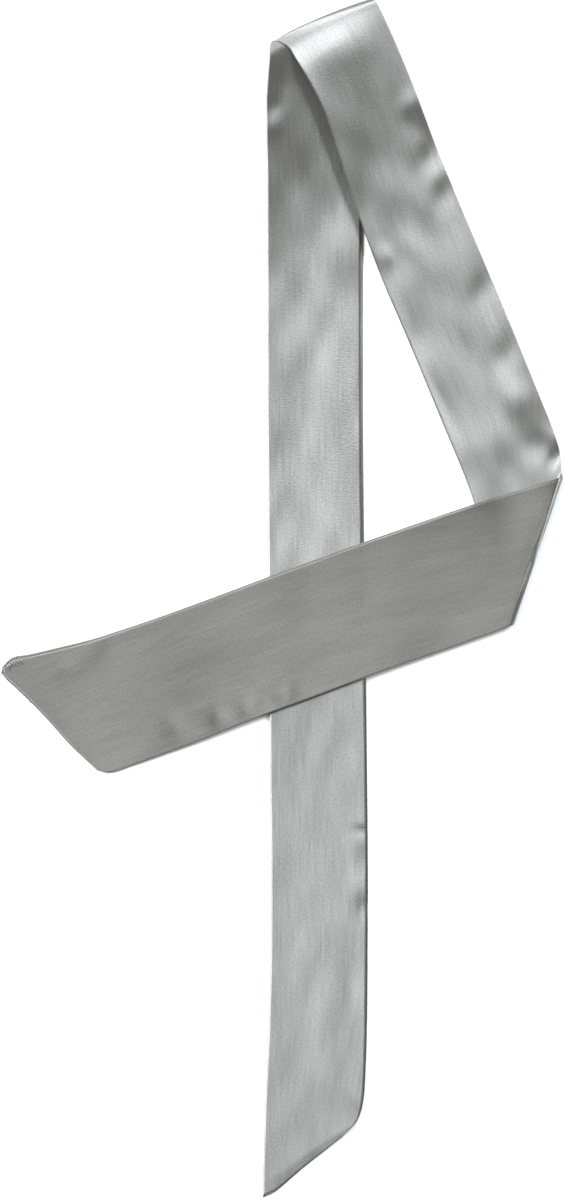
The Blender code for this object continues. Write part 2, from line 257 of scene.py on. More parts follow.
def make_run(guide, sections, head, tail, settles_in=(1.0, 1.0)):
    """A run from its guide line, its sections and what it has at both ends."""
    angle = math.radians(guide.heading)
    run = SimpleNamespace(start=np.array([guide.x, guide.y]), settles_in=settles_in)
    run.ahead = np.array([math.cos(angle), math.sin(angle)])
    run.seamward = np.array([-run.ahead[1], run.ahead[0]]) * guide.seam_side
    run.head = end_line(run, head, 1.0)
    run.tail = end_line(run, tail, 0.0)
    run.plain_edge = edge_stations(run, 0.0, [(row[0], -row[1]) for row in sections])
    run.seam_edge = edge_stations(run, 1.0, [(row[0], row[2]) for row in sections])
    run.from_fold = head if isinstance(head, Fold) else None
    run.to_fold = tail if isinstance(tail, Fold) else None
    run.length = (run.plain_edge[-1][0] + run.seam_edge[-1][0]
                  - run.plain_edge[0][0] - run.seam_edge[0][0]) / 2
    return run


long_run = make_run(LONG_GUIDE, LONG_SECTIONS, LONG_TIP, TOP_FOLD)
slanting_run = make_run(SLANTING_GUIDE, SLANTING_SECTIONS, TOP_FOLD, SIDE_FOLD, (165.0, 150.0))
short_run = make_run(SHORT_GUIDE, SHORT_SECTIONS, SIDE_FOLD, SHORT_TIP, (60.0, 60.0))
print("runs, mm:", [round(run.length) for run in (long_run, slanting_run, short_run)])

# %% Places on a run
def along_run(run, u, v):
    """Even steps between the middles of the two ends, plus what is left to each end's slant,
    fading away over SLANT_FADE."""
    heads = run.plain_edge[0][0], run.seam_edge[0][0]
    tails = run.plain_edge[-1][0], run.seam_edge[-1][0]
    near_head = 1 - ease(v * run.length / SLANT_FADE)
    near_tail = 1 - ease((1 - v) * run.length / SLANT_FADE)
    return (mix(sum(heads) / 2, sum(tails) / 2, v)
            + (mix(*heads, u) - sum(heads) / 2) * near_head
            + (mix(*tails, u) - sum(tails) / 2) * near_tail)


def straight_spots(run, u, v):
    """The point at share u of the straight line from edge to edge."""
    plain_along, seam_along = along_run(run, 0.0, v), along_run(run, 1.0, v)
    plain = page(run, plain_along, through(run.plain_edge, plain_along))
    seam = page(run, seam_along, through(run.seam_edge, seam_along))
    return mix(plain, seam, np.asarray(u)[..., None])


def run_spots(run, u, v):
    """Straight cross lines, bent within CURVE_FADE of each end to fit the end lines."""
    near_head = 1 - ease(v * run.length / CURVE_FADE)
    near_tail = 1 - ease((1 - v) * run.length / CURVE_FADE)
    to_head = run.head(u) - straight_spots(run, u, np.zeros_like(v))
    to_tail = run.tail(u) - straight_spots(run, u, np.ones_like(v))
    return (straight_spots(run, u, v) + to_head * near_head[..., None]
            + to_tail * near_tail[..., None])


def beyond(run, spots):
    """How far a place lies outside the run's two edges, below zero between them."""
    along, out = own(run, spots)
    return np.maximum(out - through(run.seam_edge, along),
                      through(run.plain_edge, along) - out)


print("the long run's middle is at, mm:",
      run_spots(long_run, np.array([0.5]), np.array([0.5])).round(1).tolist())

# %% [markdown]
# ## Puckers, dimples and the soft pillow
#
# A turned band is never flat. It puffs up a little between its edges, and its seam is a touch
# tighter than the cloth, so it draws up in dimples along the seam edge with soft ridges
# between them. A cloth simulation would make some puckers, but not these. Each one is placed
# from the photo as a rounded hill or hollow: where it is, its length and width, its
# turn from the run's direction, and its height.
#
# The photo also shows a faint unevenness all over the cloth, the cockles. They are the sum of
# forty small waves of random length and direction, a fraction of a millimetre high together.

# %% The puckers of each run: along, out, length, width, turn, height
Pucker = namedtuple("Pucker", "along out length width turn height")
LONG_PUCKERS = [
    Pucker(72, 22, 26, 9, -35, 0.6), Pucker(60, 31, 18, 5, -30, -0.8),
    Pucker(130, 8, 60, 12, 4, 0.5), Pucker(161, 28, 20, 8, 0, -0.6),
    Pucker(211, 35, 9, 6, 0, -0.9), Pucker(229, 31, 10, 8, 0, 0.4),
    Pucker(247, 36, 12, 5, 0, -0.9), Pucker(268, 35, 4, 8, 10, -0.7),
    Pucker(205, -22, 40, 12, 2, -0.4), Pucker(560, 12, 70, 14, -3, 0.4),
    Pucker(435, 5, 70, 60, 0, 1.6), Pucker(620, -20, 50, 12, 3, 0.4),
    Pucker(781, -31, 6, 6, 10, 0.4), Pucker(797, -31, 8, 7, 10, -0.8),
    Pucker(812, -27, 14, 10, 0, -0.8), Pucker(785, -12, 50, 13, -22, 1.2),
    Pucker(620, -13, 170, 22, 0, -0.8), Pucker(640, 43, 110, 13, 0, -0.6),
    Pucker(692, 24, 22, 13, 0, 0.7),
]
SLANTING_PUCKERS = [
    Pucker(74, 30, 7, 10, 40, 0.6), Pucker(95, 34, 16, 8, 20, -0.8),
    Pucker(114, 31, 8, 14, 50, -0.9),
    Pucker(130, 32, 6, 9, 50, 0.4), Pucker(145, 30, 7, 12, 50, -0.6),
    Pucker(188, 26, 16, 18, 45, 0.2), Pucker(219, 30, 8, 14, 50, -0.7),
    Pucker(243, 30, 10, 12, 50, 0.1), Pucker(269, 28, 9, 15, 50, -0.9),
    Pucker(303, 26, 13, 14, 45, 0.8), Pucker(340, 25, 12, 12, 30, -1.0),
    Pucker(338, 37, 9, 4, 20, 0.7), Pucker(353, 34, 5, 7, 40, -0.9),
    Pucker(20, 0, 14, 22, 0, 0.7), Pucker(138, 5, 26, 20, 0, 1.1),
    Pucker(171, -27, 9, 6, 0, 0.7), Pucker(180, -12, 12, 10, 40, -0.3),
    Pucker(237, -26, 16, 7, -10, -0.6), Pucker(283, -27, 30, 5, 3, -0.9),
    Pucker(325, -14, 16, 16, -20, 0.7), Pucker(190, -2, 26, 20, 0, 0.8),
]
SHORT_PUCKERS = [
    Pucker(60, 10, 60, 16, 3, 0.5), Pucker(130, -15, 55, 16, -3, 0.4),
    Pucker(204, -40, 7, 8, 30, 0.5), Pucker(219, -41, 6, 7, 30, -0.3),
    Pucker(234, -40, 7, 8, 30, 0.5), Pucker(256, -40, 7, 8, 30, 0.5),
    Pucker(289, -37, 9, 8, 30, 0.4), Pucker(250, 12, 60, 16, 2, 0.5),
    Pucker(328, 36, 12, 7, -30, 0.7), Pucker(349, 29, 10, 7, -30, 0.7),
]
print("puckers:", len(LONG_PUCKERS), len(SLANTING_PUCKERS), len(SHORT_PUCKERS))

# %% The pillow and the cockles: puff, slopes across the band, height of one wave
Pillow = namedtuple("Pillow", "puff start climb cockle")
LONG_PILLOW = Pillow(1.0, -0.03, 0.05, 0.022)
SLANTING_PILLOW = Pillow(1.0, -0.045, 0.14, 0.034)
SHORT_PILLOW = Pillow(1.3, -0.075, 0.15, 0.007)
WIDE = 72.0  # the band's usual width
PILLOW_CALM = 90.0  # the pillow fades within this of a fold
PUCKER_CALM = 12.0  # and the puckers within this
DEEPEST = -0.8  # no hollow is deeper than this
COCKLES = 40
COCKLE_SEED = 4
COCKLE_LENGTHS = (35, 120)
COCKLE_WIDTHS = (18, 60)
CLEAR_OF_COCKLES = 13.0  # draped cloth clears the cockles by so many waves' height

random = np.random.default_rng(COCKLE_SEED)
cockle_along = 2 * math.pi / random.uniform(*COCKLE_LENGTHS, COCKLES)
cockle_across = 2 * math.pi / random.uniform(*COCKLE_WIDTHS, COCKLES)
cockle_across = cockle_across * random.choice([-1, 1], COCKLES)
cockle_phase = random.uniform(0, 2 * math.pi, COCKLES)

for run, pillow, puckers in ((long_run, LONG_PILLOW, LONG_PUCKERS),
                             (slanting_run, SLANTING_PILLOW, SLANTING_PUCKERS),
                             (short_run, SHORT_PILLOW, SHORT_PUCKERS)):
    run.pillow, run.puckers = pillow, puckers
print("cockles:", COCKLES)

# %% How far the upper cloth stands off
def share_across(run, along, out):
    """The share u of the way from the plain edge to the seam edge, from 0 to 1."""
    plain, seam = through(run.plain_edge, along), through(run.seam_edge, along)
    return np.clip((out - plain) / (seam - plain), 0, 1)


def calm(run, along, u, reach):
    """A share that falls smoothly from 1 to nothing at a fold: ease(distance / reach)."""
    still = np.ones_like(along)
    if run.from_fold:
        foot = mix(run.plain_edge[0][0], run.seam_edge[0][0], u)
        still = still * ease((along - foot) / reach)
    if run.to_fold:
        foot = mix(run.plain_edge[-1][0], run.seam_edge[-1][0], u)
        still = still * ease((foot - along) / reach)
    return still


def swell(run, spots, draped=False):
    """How far the upper cloth stands off the middle surface: the pillow's
    puff + WIDE u (start + climb u / 2) and the sum of the cockles' sine waves, both faded
    within PILLOW_CALM of a fold, plus each pucker's height exp(-(l / length)^2 -
    (w / width)^2), with l and w turned with it, faded within PUCKER_CALM of a fold. It is
    never below DEEPEST. Cloth draped over it takes ease(u) for u in the pillow, which is
    level at the edges, lies clear of the cockles, doesn't fade before a fold, and keeps the
    edge's height beyond an edge."""
    along, out = own(run, spots)
    u = share_across(run, along, out)
    rolled = ease(u) if draped else u
    height = run.pillow.puff + rolled * WIDE * (run.pillow.start + run.pillow.climb / 2 * rolled)
    if draped:
        out = mix(through(run.plain_edge, along), through(run.seam_edge, along), u)
        height = height + run.pillow.cockle * CLEAR_OF_COCKLES
    else:
        waves = along[..., None] * cockle_along + out[..., None] * cockle_across + cockle_phase
        height = height + run.pillow.cockle * np.sin(waves).sum(axis=-1)
        height = height * calm(run, along, u, PILLOW_CALM)
    dimples = np.zeros_like(height)
    for pucker in run.puckers:
        turn = math.radians(pucker.turn)
        ahead, aside = along - pucker.along, out - pucker.out
        lengthwise = (ahead * math.cos(turn) + aside * math.sin(turn)) / pucker.length
        crosswise = (aside * math.cos(turn) - ahead * math.sin(turn)) / pucker.width
        dimples = dimples + pucker.height * np.exp(-lengthwise**2 - crosswise**2)
    return np.maximum(height + dimples * calm(run, along, u, PUCKER_CALM), DEEPEST)


print("the long run's pillow half way along, mm:",
      swell(long_run, page(long_run, 400.0, np.array([-30.0, 0.0, 30.0]))).round(2))

# %% [markdown]
# ## How high a run lies
#
# A run that crosses another rides on it, pillow and all, and hangs slackly down to the floor
# past its edges. Past the top roll the band comes down as a bent strip does, and before it the
# long run lifts off the floor in the same way.

# %% The height of a run's middle surface
def run_points(run, u, v, lies_on):
    """The run's middle surface. Over the runs in lies_on it is higher by CROSSING and by
    their swell, and it comes down within DRAPE past their edges. Past a fold it swells by the
    puff up to the fold's top at its crown. From there it settles within settles_in, by a mix,
    SAG, of ease(t) and 1 - (1 - t)^2, with t the share of that way. At distance d before a
    fold it is lifted by lift (1 - d / LIFTS_IN)^LIFT_POWER."""
    spots = run_spots(run, u, v)
    unsupported, pillow = np.ones(spots.shape[:-1]), np.zeros(spots.shape[:-1])
    for under in lies_on:
        slack = ease((beyond(under, spots) - OVERHANG) / DRAPE)
        unsupported = unsupported * slack
        pillow = pillow + swell(under, spots, draped=True) * (1 - slack)
    rise = CROSSING * (1 - unsupported) + pillow
    if run.from_fold:
        travelled = along_run(run, u, v) - along_run(run, u, np.zeros_like(v))
        crown = mix(*run.from_fold.crown, u)
        past = (travelled - crown) / mix(*run.settles_in, u)
        past = np.clip((past + np.sqrt(past**2 + ONSET**2)) / 2, 0, 1)
        top = mix(*run.from_fold.top, u)
        come_down = mix(ease(past), 1 - (1 - past) ** 2, mix(*SAG, u))
        rise = mix(top, rise, come_down)
        swelling = np.clip(1 - travelled / crown, 0, 1) ** 2
        rise = rise - mix(*run.from_fold.puff, u) * swelling
    if run.to_fold:
        to_go = along_run(run, u, np.ones_like(v)) - along_run(run, u, v)
        nearness = np.clip(1 - to_go / LIFTS_IN, 0, 1)
        rise = rise + mix(*run.to_fold.lift, u) * nearness ** LIFT_POWER
    return np.concatenate([spots, HALF + rise[..., None]], axis=-1)


print("the long run's middle at the top roll's foot, mm:",
      run_points(long_run, np.array([0.5]), np.array([1.0]), []).round(1).tolist())

# %% [markdown]
# ## One unbroken middle surface
#
# The five stretches are now put end to end as rows of one grid, from the long run's tip to
# the short run's tip. The rows are about 2 mm apart on the runs and closer in the folds and at
# the two sewn ends. Where two stretches meet, the six rows on either side are smoothed a
# little, as cloth smooths out any kink by itself.

# %% Lay the rows end to end
ROW_STEP = 2.1
COLUMNS = 61
TOP_ROWS = 25
SIDE_ROWS = 15
END_ROWS = np.array([0.0, 0.12, 0.3, 0.55, 0.85, 1.2, 1.7, 2.4, 3.4, 5.0])

u_line = np.linspace(0, 1, COLUMNS)


def rows_of(run, fine_head=False, fine_tail=False):
    """Shares v of a run's length: even steps, with closer rows at a sewn end."""
    v = np.linspace(0, 1, round(run.length / ROW_STEP) + 1)
    fine = END_ROWS / run.length
    if fine_head:
        v = np.concatenate([fine, v[v > fine[-1] + 0.5 * ROW_STEP / run.length]])
    if fine_tail:
        v = np.concatenate([v[v < 1 - fine[-1] - 0.5 * ROW_STEP / run.length], 1 - fine[::-1]])
    return v


def grid(v):
    """The arrays u and v of a stretch, one row for each v."""
    return np.meshgrid(u_line, v)


long_v = rows_of(long_run, fine_head=True)
slanting_v = rows_of(slanting_run)
short_v = rows_of(short_run, fine_tail=True)
top_v = np.linspace(0, 1, TOP_ROWS + 2)[1:-1]
side_v = np.linspace(0, 1, SIDE_ROWS + 2)[1:-1]
middle = np.concatenate([
    run_points(long_run, *grid(long_v), []),
    fold_points(TOP_FOLD, *grid(top_v)),
    run_points(slanting_run, *grid(slanting_v), [long_run]),
    fold_points(SIDE_FOLD, *grid(side_v)),
    run_points(short_run, *grid(short_v), [long_run, slanting_run]),
])
counts = [len(v) for v in (long_v, top_v, slanting_v, side_v, short_v)]
starts = np.concatenate([[0], np.cumsum(counts)])
print("rows:", counts, "columns:", COLUMNS)

# %% Smooth the joins between stretches
JOIN_ROWS = 6
SMOOTHING = 0.25
SMOOTHING_ROUNDS = 6

row = np.arange(len(middle))
nearest_join = np.abs(row[:, None] - starts[1:-1]).min(axis=1)
freedom = np.where(nearest_join <= JOIN_ROWS, SMOOTHING, 0.0)[1:-1, None, None]
for _ in range(SMOOTHING_ROUNDS):
    middle[1:-1] += freedom * (middle[2:] - 2 * middle[1:-1] + middle[:-2])
across_band = np.gradient(middle, axis=1)
along_band = np.gradient(middle, axis=0)
normal = np.cross(across_band, along_band)
normal /= np.linalg.norm(normal, axis=-1, keepdims=True)
along_band /= np.linalg.norm(along_band, axis=-1, keepdims=True)
width = np.linalg.norm(middle[:, -1] - middle[:, 0], axis=-1)
print("width of the band, mm:", round(width.min(), 1), "to", round(width.max(), 1))

# %% [markdown]
# ## Where the threads run
#
# Satin's shine depends on which way its long threads lie, so each point needs the distance
# along the band and across it. On a run that is its own coordinates. In a fold they are mixed
# from the run before to the run after. They become the UV map, in metres.
#
# Cloth that has been turned and pressed is pulled a little off its straight grain. The photo
# shows it as a sheen that fades, so the threads of the long run lean more and more towards
# the top roll, and those of the short run a little, most at its seam edge.

# %% The distance along the band at every point of the grid
LEAN = 0.34
LEANS_IN = 650.0  # the lean grows over this length of the long run
LEAN_PACE = 1.2  # so it is full a sixth of that length before the top roll
SHORT_LEAN = 0.08
SHORT_HALF = 47.0  # half the short run's width

long_along, long_out = own(long_run, middle[starts[0]:starts[1], :, :2])
to_roll = long_along[-1] - long_along
long_along = long_along - LEAN * long_out * ease(LEAN_PACE * (1 - to_roll / LEANS_IN))
slanting_along = own(slanting_run, middle[starts[2]:starts[3], :, :2])[0]
short_along, short_out = own(short_run, middle[starts[4]:, :, :2])
short_along = short_along + SHORT_LEAN * (short_out + SHORT_HALF) ** 2 / (4 * SHORT_HALF)
TOP_ARC = math.pi * (TOP_FOLD.plain_radius + TOP_FOLD.seam_radius) / 2
SIDE_ARC = math.pi * SIDE_FOLD.plain_radius
slanting_along += long_along[-1].mean() + TOP_ARC - slanting_along[0].mean()
short_along += slanting_along[-1].mean() + SIDE_ARC - short_along[0].mean()
top_along = mix(long_along[-1], slanting_along[0], top_v[:, None])
side_along = mix(slanting_along[-1], short_along[0], side_v[:, None])
thread = np.concatenate([long_along, top_along, slanting_along, side_along, short_along])
print("length of the band along its middle, mm:", round(float(np.ptp(thread[:, COLUMNS // 2]))))

# %% [markdown]
# ## The pillow over the whole band
#
# The same swell is now read at every point of the grid, and is nothing inside the folds,
# where the cloth is pulled tight round the roll.

# %% The stand-off of the upper cloth at every point
hills = np.zeros(middle.shape[:2])
for number, run in ((0, long_run), (2, slanting_run), (4, short_run)):
    stretch = slice(starts[number], starts[number + 1])
    hills[stretch] = swell(run, middle[stretch, :, :2])
print("highest ridge, mm:", round(hills.max(), 2))

# %% [markdown]
# ## The cross section of the sleeve
#
# Cut across the band and the satin shows as one long loop. It starts in the groove of the
# seam on the face side, crosses the face, turns round the plain edge, crosses the back, turns
# round the seam edge and comes back to the groove. The back reaches 1 to 2 mm past the face
# there, because the maker rolled the seam to the face side when pressing it, and that narrow
# strip lies lower and reads as a thin dark line. A plain sheet with Solidify would have square
# edges, so the loop is drawn as a profile and carried along the band. The flat parts have one
# more point close to each edge, which keeps the shading of the round edges off them.

# %% The profile: share of the width, offset, share of the seam step, height off the middle
STRIP_ROUND = 0.32
GROOVE = -0.5  # the groove's height off the middle
FACE_ROUND = 1.0
FACE_COLUMNS = 44
BACK_COLUMNS = 26
ROLL_STEPS = 6
ROUND_STEPS = 8
CLOSE_IN = 0.006  # the close points, as a share of the width


def arc(first, last, steps):
    """Angles in radians from first to last degree, both ends taken."""
    return np.radians(np.linspace(first, last, steps + 1))


def profile():
    """Rows of (share, offset, step, height): the face's rolled seam edge, the face, the
    plain edge's half round, the back, the seam edge's small half round, and the strip."""
    a = arc(0, 90, ROLL_STEPS)
    face_roll = np.stack([0 * a + 1, -FACE_ROUND * (1 - np.cos(a)), 0 * a + 1,
                          GROOVE + (HALF - GROOVE) * np.sin(a)], axis=1)
    t = np.concatenate([[CLOSE_IN], np.linspace(0, 1, FACE_COLUMNS + 1)[1:-1], [1 - CLOSE_IN]])
    face = np.stack([1 - t, mix(-FACE_ROUND, HALF, t), 1 - t, 0 * t + HALF], axis=1)
    a = arc(90, -90, ROUND_STEPS)
    plain_roll = np.stack([0 * a, HALF * (1 - np.cos(a)), 0 * a, HALF * np.sin(a)], axis=1)
    t = np.concatenate([[CLOSE_IN], np.linspace(0, 1, BACK_COLUMNS + 1)[1:-1], [1 - CLOSE_IN]])
    back = np.stack([t, mix(HALF, -STRIP_ROUND, t), 0 * t, 0 * t - HALF], axis=1)
    a = arc(-90, 90, ROLL_STEPS)
    seam_roll = np.stack([0 * a + 1, -STRIP_ROUND * (1 - np.cos(a)), 0 * a,
                          -HALF + STRIP_ROUND * (1 + np.sin(a))], axis=1)
    strip = np.array([[1, -0.1, 0.5, -HALF + 2 * STRIP_ROUND], [1, 0, 0.88, GROOVE]])
    return np.concatenate([face_roll, face, plain_roll, back, seam_roll, strip])


share, offset, step, height = profile().T
print("points round the sleeve:", len(share))

# %% [markdown]
# ## The sewn ends
#
# Both free ends are sewn on the slant and turned like the seam, so there too the face stops
# 1 to 2 mm short of the back and rolls down to it. Near an end the face's points are moved in
# by that step, and their height falls along a quarter round.

# %% Carry the profile along the band
SEAM_STEPS = (1.4, 2.2, 2.2, 0.9, 0.9, 1.0, 1.0, 2.0)  # from the long tip to the short tip
LONG_STEP_PARTS = (0.4, 0.6)  # where on the long run the first two of them are
SHORT_STEP_PARTS = (0.25, 0.15)  # where on the short run, from its tip, the last two are
LONG_END_STEP = 2.0
SHORT_END_STEP = 0.9
END_SPREAD = 12.0  # how far in from an end that step is spread
END_FOOT = -0.62  # the height that the face rolls down to


def read_across(table, u):
    """Straight-line reading of a grid's rows at shares u of the width."""
    place = np.clip(u, 0, 1) * (COLUMNS - 1)
    left = np.minimum(place.astype(int), COLUMNS - 2)
    part = place - left
    rows = np.arange(len(table))[:, None]
    if table.ndim == 3:
        part = part[..., None]
    return mix(table[rows, left], table[rows, left + 1], part)


def end_distance():
    """The distance of each row from the nearer free end, measured along the band."""
    from_head = long_v * long_run.length
    from_tail = (1 - short_v) * short_run.length
    far = np.full(sum(counts[1:4]), np.inf)
    return np.concatenate([from_head, far, from_tail])


short_rows = starts[5] - starts[4]
long_step_rows = [part * starts[1] for part in LONG_STEP_PARTS]
short_step_rows = [starts[5] - part * short_rows for part in SHORT_STEP_PARTS]
step_rows = [*long_step_rows, *starts[1:5], *short_step_rows]
peek = np.interp(row, step_rows, SEAM_STEPS)[:, None]
u_at = np.clip(share + (offset - peek * step) / width[:, None], 0, 1)
from_end = end_distance()[:, None]
onward = np.where(row < starts[1], 1.0, -1.0)[:, None, None]
face_side = np.clip(height / HALF, -1, 1) / 2 + 0.5
end_step = np.where(row < starts[1], LONG_END_STEP, SHORT_END_STEP)[:, None]
step_in = end_step * np.clip(1 - from_end / END_SPREAD, 0, 1) * face_side
fall = np.sqrt(1 - (1 - np.clip(from_end / HALF, 0, 1)) ** 2)
section_height = np.where(height > END_FOOT, END_FOOT + (height - END_FOOT) * fall, height)
face_up = np.where((row >= starts[2]) & (row < starts[3]), -1.0, 1.0)[:, None]
upper = np.clip(face_up * height / HALF, -1, 1) / 2 + 0.5
sleeve = (read_across(middle, u_at) + read_across(normal, u_at) * section_height[..., None]
          + onward * read_across(along_band, u_at) * step_in[..., None])
sleeve[..., 2] += read_across(hills, u_at) * upper * fall
print("sleeve grid:", sleeve.shape[:2])

# %% [markdown]
# ## Three lengths of sleeve
#
# One mesh for the whole band would be heavy, and the record has two material slots, silver
# and shaded. The shaded one is a copy of the same satin for the short run, which looks darker
# because its threads point at the light; its colour is a painted tint, a touch less red and
# greener than the silver, for the hue that the short run takes in its own light. So the sleeve
# is cut in three, and the short run hides both cuts: the lower part of the long run, the part
# from there over the top fold to near the slanting run's end, and the part with the side fold
# and the short run. Solidify gives the satin its thin wall, inward. The wall is then made real,
# so that its rims can be marked sharp while the satin stays smooth.

# %% Make a mesh from rows of the grid
WALL = 0.25
SHARP_EDGE = 55
FROM_COLUMN = FACE_COLUMNS + 10  # the profile's point on the plain edge, 0 on the map

tip = long_run.head(np.array(0.0))
shift = np.array(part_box("long_run_back")[0][:2]) / MM - tip
print("the layout moves by", shift.round(2).tolist(), "mm to sit in the frame")
gaps_across = np.linalg.norm(np.diff(sleeve, axis=1), axis=-1)
spread = np.concatenate([np.zeros((len(sleeve), 1)), np.cumsum(gaps_across, axis=1)], axis=1)
spread -= spread[:, [FROM_COLUMN]]
threads = read_across(thread, u_at)


def quads(rows, columns):
    """The corner numbers of a rows by columns grid's cells, faces outward."""
    corner = np.arange(rows * columns).reshape(rows, columns)
    return np.stack([corner[:-1, :-1], corner[1:, :-1], corner[1:, 1:], corner[:-1, 1:]],
                    axis=-1).reshape(-1, 4)


def sleeve_piece(name, first, last):
    """A length of sleeve from row first to row last, in metres, with the thread map."""
    points = sleeve[first:last + 1] + np.array([*shift, 0.0])
    faces = quads(*points.shape[:2])
    mesh = bpy.data.meshes.new(name)
    mesh.from_pydata((points.reshape(-1, 3) * MM).tolist(), [], faces.tolist())
    thread_map = np.stack([spread[first:last + 1], threads[first:last + 1]], axis=-1) * MM
    layer = mesh.uv_layers.new(name="threads")
    layer.uv.foreach_set("vector", thread_map.reshape(-1, 2)[faces.ravel()].ravel())
    piece = bpy.data.objects.new(name, mesh)
    bpy.context.scene.collection.objects.link(piece)
    wall = piece.modifiers.new("wall", "SOLIDIFY")
    wall.thickness = WALL * MM
    wall.offset = -1
    bpy.context.view_layer.update()
    seen = piece.evaluated_get(bpy.context.evaluated_depsgraph_get())
    piece.data = bpy.data.meshes.new_from_object(seen)
    piece.data.name = name
    piece.modifiers.clear()
    piece.data.shade_smooth()
    piece.data.set_sharp_from_angle(angle=math.radians(SHARP_EDGE))
    return piece


def row_at(first, last, line):
    """The row between first and last whose middle is nearest to a height on the page."""
    return first + int(np.abs(middle[first:last, COLUMNS // 2, 1] - line).argmin())


LONG_CUT = -38.0
SLANTING_CUT = 50.0
long_cut = row_at(0, starts[1], LONG_CUT)
slanting_cut = row_at(starts[2], starts[3], SLANTING_CUT)
long_sleeve = sleeve_piece("long_run_sleeve", 0, long_cut)
slanting_sleeve = sleeve_piece("slanting_run_sleeve", long_cut, slanting_cut)
short_sleeve = sleeve_piece("short_run_sleeve", slanting_cut, len(sleeve) - 1)
for piece in (long_sleeve, slanting_sleeve, short_sleeve):
    print(piece.name, len(piece.data.polygons), "faces")

# %% [markdown]
# ## The closing stitches
#
# The short run's corner was closed by hand. A few stitches go over the seam edge there, and
# some threads of the cut end stick out. Each is a round thread along a short path: a stitch
# follows the sleeve's own section over the edge, and a loose thread starts in the end and
# bends away. A curve object with a bevel would do as well, but here all of them are one array.

# %% Paths of the stitches and the loose threads
STITCH_COLUMNS = [-4, -3, 2, 4, 6, 8, 9]  # the profile's points that a stitch passes over
STITCH_ROWS = np.arange(-9, -15, -1)  # counted from the short run's tip
STITCH_LIFT = np.array([-0.1, 0.2, 0.35, 0.35, 0.35, 0.25, -0.3])  # how far off them
STITCH_RADIUS = 0.45
LOOSE = 16
LOOSE_RADIUS = 0.13
LOOSE_POINTS = (4, 22)  # the profile's points that they may start from
LOOSE_AHEAD = (1.0, 3.2)
LOOSE_ASIDE = (-1.2, 1.2)
LOOSE_UP = (-0.3, 0.5)
LOOSE_CURL = (-0.4, 0.6)
ROOTED = 0.2  # the share of a loose thread that is inside the end

lengthwise = np.linspace(0, 1, len(STITCH_COLUMNS))[:, None]
stitches = mix(sleeve[STITCH_ROWS][:, STITCH_COLUMNS], sleeve[STITCH_ROWS - 1][:, STITCH_COLUMNS],
               lengthwise)
stitches[..., 2] += STITCH_LIFT
roots = sleeve[-1, random.integers(*LOOSE_POINTS, LOOSE)]
away = short_run.ahead * random.uniform(*LOOSE_AHEAD, (LOOSE, 1))
away = away + short_run.seamward * random.uniform(*LOOSE_ASIDE, (LOOSE, 1))
straight = np.concatenate([away, random.uniform(*LOOSE_UP, (LOOSE, 1))], axis=1)[:, None]
curl = np.array([0, 0, 1.0]) * random.uniform(*LOOSE_CURL, (LOOSE, 1, 1))
loose = roots[:, None] + straight * (lengthwise - ROOTED) + curl * lengthwise * (1 - lengthwise)
paths = np.concatenate([stitches, loose])
radii = np.repeat([STITCH_RADIUS, LOOSE_RADIUS], [len(stitches), LOOSE])
print("threads:", len(paths))

# %% Round threads along the paths
SIDES = 8
SHARP_TIP = 60
MAP_STEP = 0.0002  # metres on the thread map from one point to the next


def rings(paths, radii):
    """Round each point of a path, SIDES points: the point plus radius times (cos a sideways
    + sin a upward), where sideways is level and both are square to the path."""
    ahead = np.gradient(paths, axis=1)
    sideways = np.cross(ahead, [0.0, 0.0, 1.0])
    upward = np.cross(sideways, ahead)
    sideways /= np.linalg.norm(sideways, axis=-1, keepdims=True)
    upward /= np.linalg.norm(upward, axis=-1, keepdims=True)
    a = np.linspace(0, 2 * math.pi, SIDES + 1)[:-1, None]
    around = np.cos(a) * sideways[:, :, None] + np.sin(a) * upward[:, :, None]
    return paths[:, :, None] + radii[:, None, None, None] * around


thread_points = rings(paths, radii) + np.array([*shift, 0.0])
corner = np.arange(thread_points[..., 0].size).reshape(thread_points.shape[:3])
beside = np.roll(corner, -1, axis=2)
walls = np.stack([corner[:, :-1], corner[:, 1:], beside[:, 1:], beside[:, :-1]], axis=-1)
tips = np.concatenate([corner[:, 0], corner[:, -1, ::-1]])
mesh = bpy.data.meshes.new("closing_stitches")
mesh.from_pydata((thread_points.reshape(-1, 3) * MM).tolist(), [],
                 walls.reshape(-1, 4).tolist() + tips.tolist())
mesh.shade_smooth()
mesh.set_sharp_from_angle(angle=math.radians(SHARP_TIP))
layer = mesh.uv_layers.new(name="threads")
round_it = np.stack([corner % SIDES, corner // SIDES % paths.shape[1]], axis=-1).reshape(-1, 2)
loop_corner = np.empty(len(mesh.loops), dtype=np.int32)
mesh.loops.foreach_get("vertex_index", loop_corner)
layer.uv.foreach_set("vector", (round_it[loop_corner] * MAP_STEP).ravel())
closing_stitches = bpy.data.objects.new("closing_stitches", mesh)
bpy.context.scene.collection.objects.link(closing_stitches)
print("closing stitches:", len(mesh.polygons), "faces")
